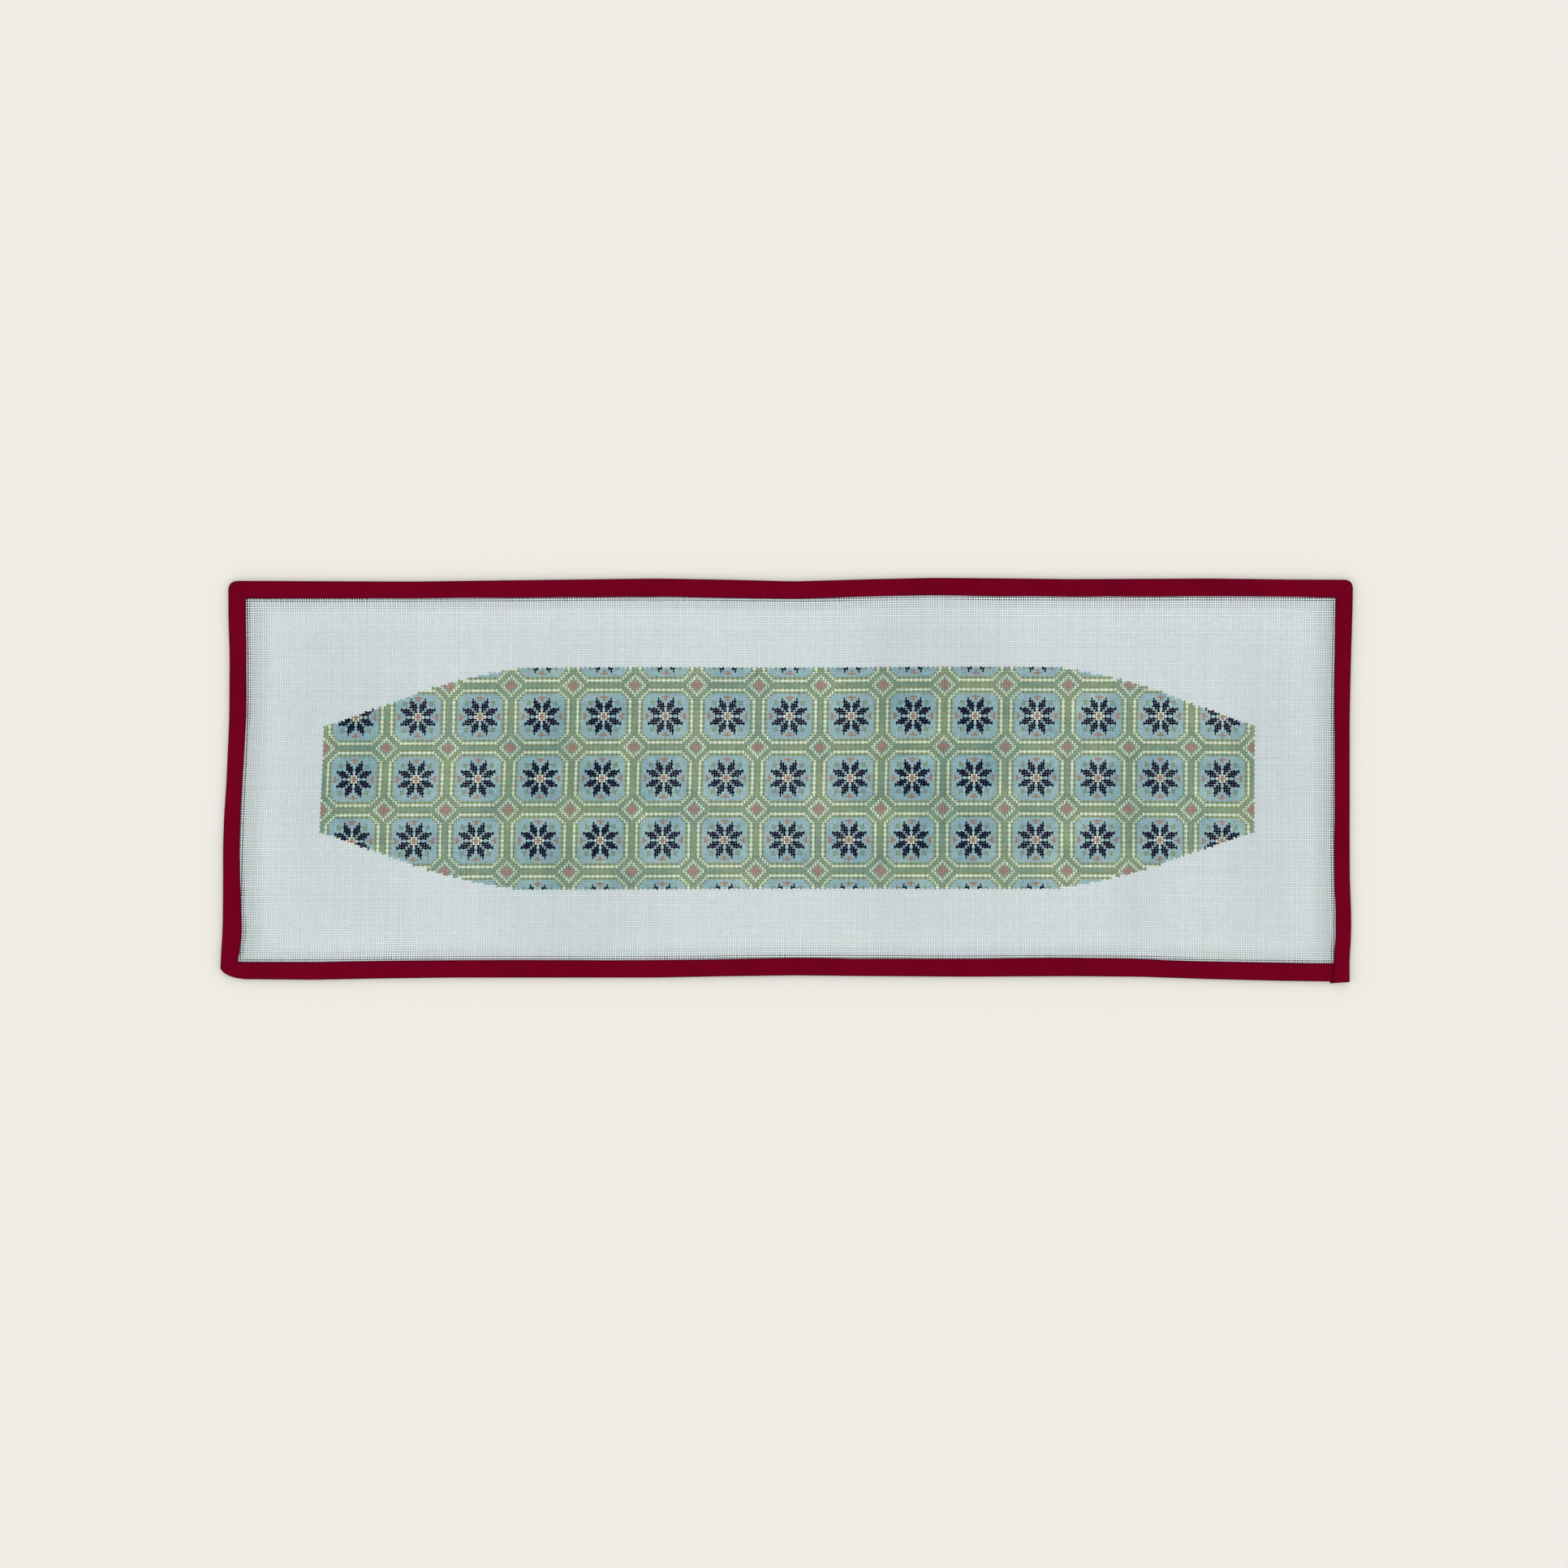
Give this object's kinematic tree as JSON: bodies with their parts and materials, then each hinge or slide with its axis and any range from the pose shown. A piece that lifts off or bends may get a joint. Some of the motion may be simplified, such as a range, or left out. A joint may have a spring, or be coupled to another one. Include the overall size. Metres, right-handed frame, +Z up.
{
  "type": "needlepoint canvas panel",
  "caption": "Long rectangular panel of stiff open-weave needlepoint canvas painted with a band of pattern, its raw edge bound all round with folded bias tape.",
  "frame": {"origin": "under the middle of the panel, on the surface that it lies on", "axes": "+X along the panel's length, +Y up the painted picture, +Z up from the table through the painted face"},
  "size_m": [0.6694, 0.2394, 0.0041],
  "materials": {
    "painted_canvas": "stiff open-weave cotton mono canvas, sized and hand painted, matt",
    "cotton_tape": "crimson woven cotton bias tape, matt with a faint sheen"
  },
  "bodies": {
    "root": {"canvas": "painted_canvas", "binding": "cotton_tape"}
  },
  "joints": []
}
